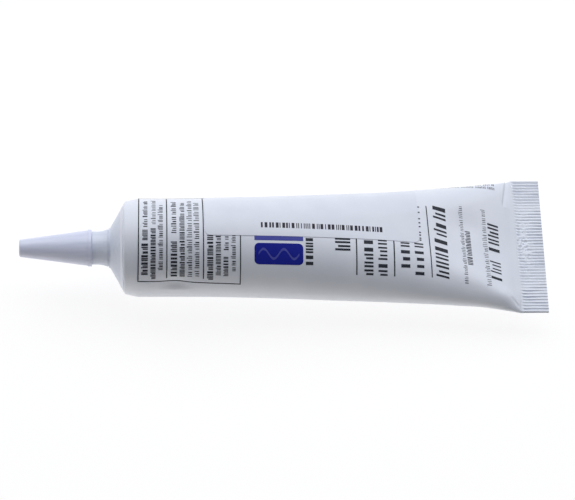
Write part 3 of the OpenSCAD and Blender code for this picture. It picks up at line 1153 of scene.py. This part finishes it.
# The columns, each heavy at its start
heavy_row(black, 5.8, 2.3, -19.7, -7.9, 1.2, 0.01, share=0.68)
heavy_row(black, 6.1, 1.9, -6.9, -2.8, 0.9, 0.01, share=0.62)
fine_row(black, 6.2, 1.7, -2.0, 11.7, 0.31, 0.01, gap=1.3)
heavy_row(black, 9.0, 1.8, -21.5, -2.8, 0.95, 0.008, share=0.63)
fine_row(black, 9.1, 1.7, -0.9, 12.8, 0.20, 0.008, gap=2.5)
fine_row(black, 11.5, 1.8, -17.7, 8.6, 0.24, 0.006)
heavy_row(black, 16.0, 2.2, -20.5, -6.9, 1.2, share=0.63)
fine_row(black, 16.2, 1.8, -4.3, 11.1, 0.32, gap=1.3)
heavy_row(black, 19.1, 1.8, -20.5, 4.0, 0.95, share=0.54)
fine_row(black, 19.2, 1.7, 4.6, 11.1, 0.24)
fine_row(black, 21.6, 1.9, -20.4, 11.6, 0.25, gap=1.9)
fine_row(black, 24.1, 1.9, -20.2, 11.4, 0.27, gap=1.8)
heavy_row(black, 28.8, 2.1, -21.6, -4.4, 1.2, share=0.62)
heavy_row(black, 31.8, 1.8, -19.6, -4.4, 0.95, share=0.5)
heavy_row(black, 34.5, 1.7, -19.9, -12.0, 0.95, share=0.54)
fine_row(black, 34.6, 1.7, -10.3, -4.4, 0.26)
fine_row(black, 37.1, 1.7, -17.9, -4.4, 0.24)
print("the box has", len(black.faces), "bars")

# %% Rows on the front, between thin rules, and towards the tail
heavy_row(black, 63.5, 2.6, -15.1, -4.6, 1.9)
heavy_row(black, 73.9, 5.4, -9.6, -4.6, 2.4)
for s in (81.3, 94.7):
    add_bar(black, (s, s + 0.45), (-18.1, -4.4))
heavy_row(black, 84.2, 3.2, -18.0, -4.6, 2.5, share=0.52)
heavy_row(black, 89.2, 3.2, -18.0, -4.6, 2.5, share=0.48)
heavy_row(black, 97.3, 3.2, -14.8, -4.6, 2.3, share=0.47)
heavy_row(black, 102.3, 3.2, -17.2, -4.6, 2.3, share=0.46)
# What shows of a row past the label's end
for g in (-4.0, -3.2, -1.9, -0.8, 1.6, 3.2, 4.9, 7.6, 10.0):
    add_bar(black, (104.3, 104.95), (g, g + 0.5))
add_bar(black, (107.6, 107.95), (-17.8, 11.0), -0.03)
heavy_row(black, 109.8, 4.6, -18.0, 10.6, 3.0, slant=0.2, share=0.47)
fine_row(black, 119.4, 1.5, -19.1, 12.3, 0.18, -0.02, gap=2.6)
heavy_row(black, 121.3, 1.9, -11.4, 3.8, 1.2, -0.02, share=0.54)
fine_row(black, 127.6, 1.7, -19.0, 12.4, 0.16, -0.02, gap=3.4)
heavy_row(black, 129.8, 3.9, -16.5, -7.3, 2.6, slant=0.2, share=0.38)
heavy_row(black, 129.8, 3.9, -4.4, 8.4, 2.6, slant=0.2, share=0.5)
print("box and front have", len(black.faces), "bars")

# %% Rows on the back, which run along the tube and start at its far side
lengthwise_row(black, 21.4, 1.5, 112.0, 133.6, 0.22, -0.12)
lengthwise_row(black, 23.9, 1.5, 124.0, 133.6, 0.22, -0.12)
for k in range(8):
    lengthwise_row(black, 27.5 + 2.5 * k, 1.5, 46.0, 133.6, 0.2)

# Ink reaches from just under the film to 0.05 mm over it
ink_t = 0.07
ink_base = -0.02
lay_on_film(black, ink_t, ink_base, 2.0, 1.6)

# %% [markdown]
# ## Colour panel
# Blue marks the front of the tube: a plain panel with round corners and a pale wave on it, like a bead of
# caulk, and a lighter strip above it that the label half covers. A curve with a bevel could draw the wave.
# Here it is a narrow grid whose points follow a sine, because it is then cut and wrapped as the rest is.

# %% Blue shapes
blue = bmesh.new()
add_bar(blue, (45.4, 62.6), (-15.2, -7.6))
round_corners(blue, 1.6, 5)
lay_on_film(blue, ink_t, ink_base, 1.5, 1.2)

pale_blue = bmesh.new()
add_bar(pale_blue, (45.4, 62.6), (-6.6, -4.2))
# The wave: two turns over 14.4 mm, 1.7 mm high to each side and 0.9 mm broad
for vert in bmesh.ops.create_grid(pale_blue, x_segments=48, y_segments=1, size=0.5)["verts"]:
    side = 0.45 if vert.co.y > 0 else -0.45
    vert.co = (54.0 + 14.4 * vert.co.x, -11.4 + 1.7 * math.sin(4 * math.pi * vert.co.x) + side, 0)
# It stands a little higher than the panel, so that it shows on it
lay_on_film(pale_blue, ink_t + 0.02, ink_base, 1.5, 1.2)

# %% [markdown]
# ## Bar code on the label
# A strip of upright bars whose widths are one, two or three times the narrowest, as any bar code has. They
# are rolled with the seeded dice and stand for no number. A label printer's ink lies on the paper, so the
# strip's base is the label's face.

# %% Label print
code_bars = bmesh.new()
narrowest = 0.33
s = 47.8
while s < 90.3:
    width = narrowest * dice.choice((1, 1, 2, 3))
    add_bar(code_bars, (s, s + width), (-1.9, 0.2))
    s += width + narrowest * dice.choice((1, 1, 2, 2))
lay_on_film(code_bars, 0.03, glue_t + label_t - 0.01, 2.0, 1.2)

# %% [markdown]
# ## Inks
# Offset ink is a thin film with a slight gloss of its own. Black print on a tube is really a dark blue
# grey, a little uneven where the blanket carried less ink, in patches of about 0.6 mm. The label printer's
# ink is a shade browner and duller. One function makes them all, because they differ only in colour and
# gloss. What the eye gets: crisp dark shapes that take no glare from the lamp.

# %% Ink materials
def offset_ink(name, thin, full, roughness):
    """Makes an ink whose colour runs between a thin and a full coat."""
    finish, tree, output = new_tree(name)
    place = add_node(tree, "ShaderNodeTexCoord")
    coat = add_node(tree, "ShaderNodeTexNoise", {
        "Vector": place.outputs["Object"],
        "Scale": 1000 / 0.6,
        "Detail": 3.0,
    })
    shine = add_node(tree, "ShaderNodeMapRange", {
        "Value": coat.outputs["Fac"],
        "To Min": roughness,
        "To Max": roughness + 0.12,
    })
    ink = add_node(tree, "ShaderNodeBsdfPrincipled", {
        "Base Color": colour_ramp(tree, coat.outputs["Fac"], thin, full),
        "Roughness": shine.outputs["Result"],
        "IOR": 1.48,
        "Specular IOR Level": 0.12,
    })
    tree.links.new(ink.outputs["BSDF"], output.inputs["Surface"])
    return finish


black_ink = offset_ink("black_offset_ink", "#30343f", "#1b1e27", 0.36)
blue_ink = offset_ink("blue_offset_ink", "#1d2694", "#162089", 0.36)
pale_blue_ink = offset_ink("pale_blue_offset_ink", "#5257a8", "#4a4fa2", 0.36)
label_ink = offset_ink("label_printer_ink", "#3d3b47", "#26242e", 0.5)

# %% Printed pieces
make_piece("black_print", black, black_ink, "tube", None, sheet_crisp)
make_piece("blue_panel", blue, blue_ink, "tube", None, sheet_crisp)
make_piece("pale_blue_print", pale_blue, pale_blue_ink, "tube", None, sheet_crisp)
make_piece("bar_code", code_bars, label_ink, "tube", None, sheet_crisp)

# %% Sizes of the CAD box and the dressed box
dressed_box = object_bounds()
sizes = {
    "cad": [list(corner) for corner in cad_box],
    "visual": [list(corner) for corner in dressed_box],
}
for name, box in sizes.items():
    print(name, [round(1000 * (high - low), 2) for low, high in zip(*box)], "mm")
